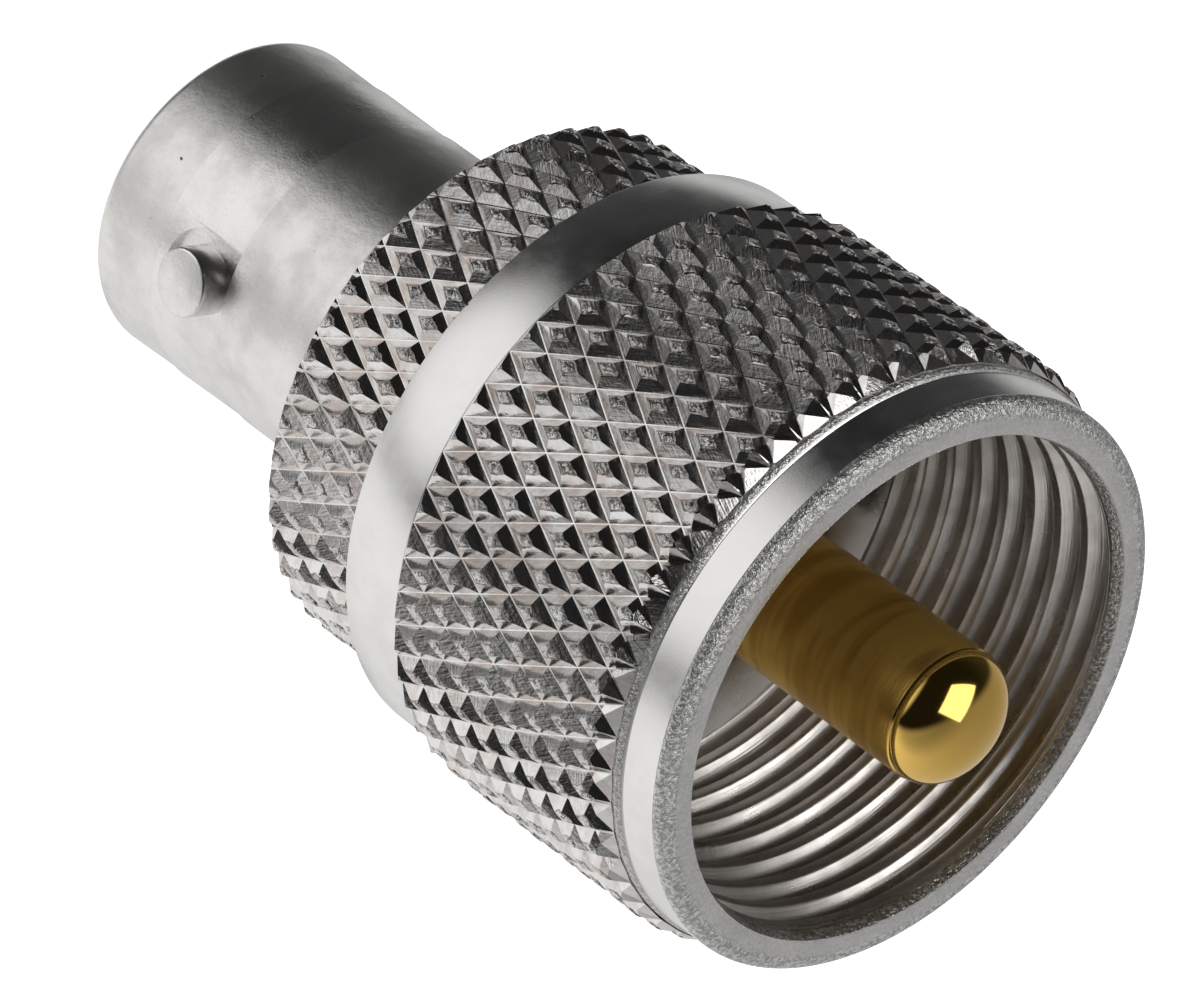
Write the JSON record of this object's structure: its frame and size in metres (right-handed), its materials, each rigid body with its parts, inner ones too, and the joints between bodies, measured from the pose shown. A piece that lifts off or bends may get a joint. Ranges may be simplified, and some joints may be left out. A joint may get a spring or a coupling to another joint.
{
  "type": "coaxial adapter",
  "caption": "Straight coaxial adapter with a knurled threaded plug on one end and a bayonet jack on the other.",
  "frame": {"origin": "on the axis, in the plane of the jack's mouth, which the adapter stands on", "axes": "+Z along the axis from the bayonet jack to the tip of the plug's pin, +X through one bayonet lug"},
  "size_m": [0.0182, 0.0182, 0.0313],
  "materials": {
    "satin_plating": "satin nickel plating on turned brass",
    "shell_plating": "bright nickel plating on turned brass",
    "bright_plating": "bright nickel plating on turned and knurled brass",
    "contact_plating": "gold plating on turned brass",
    "spring_bronze": "plain spring bronze wire",
    "insulator": "white fluoropolymer, turned"
  },
  "bodies": {
    "body": {"jack_body": "satin_plating", "rear_insulator": "insulator", "socket_contact": "contact_plating", "plug_body": "shell_plating", "front_insulator": "insulator", "centre_pin": "contact_plating"},
    "ring": {"retaining_ring": "spring_bronze"},
    "nut": {"coupling_nut": "bright_plating"}
  },
  "joints": [
    {"name": "nut_slide", "type": "slide", "parent": "body", "child": "ring", "axis": [0, 0, 1], "range_m": [0, 0.0008]},
    {"name": "nut_spin", "type": "hinge", "parent": "ring", "child": "nut", "pos_m": [0, 0, 0.01305], "axis": [0, 0, 1], "continuous": true}
  ]
}
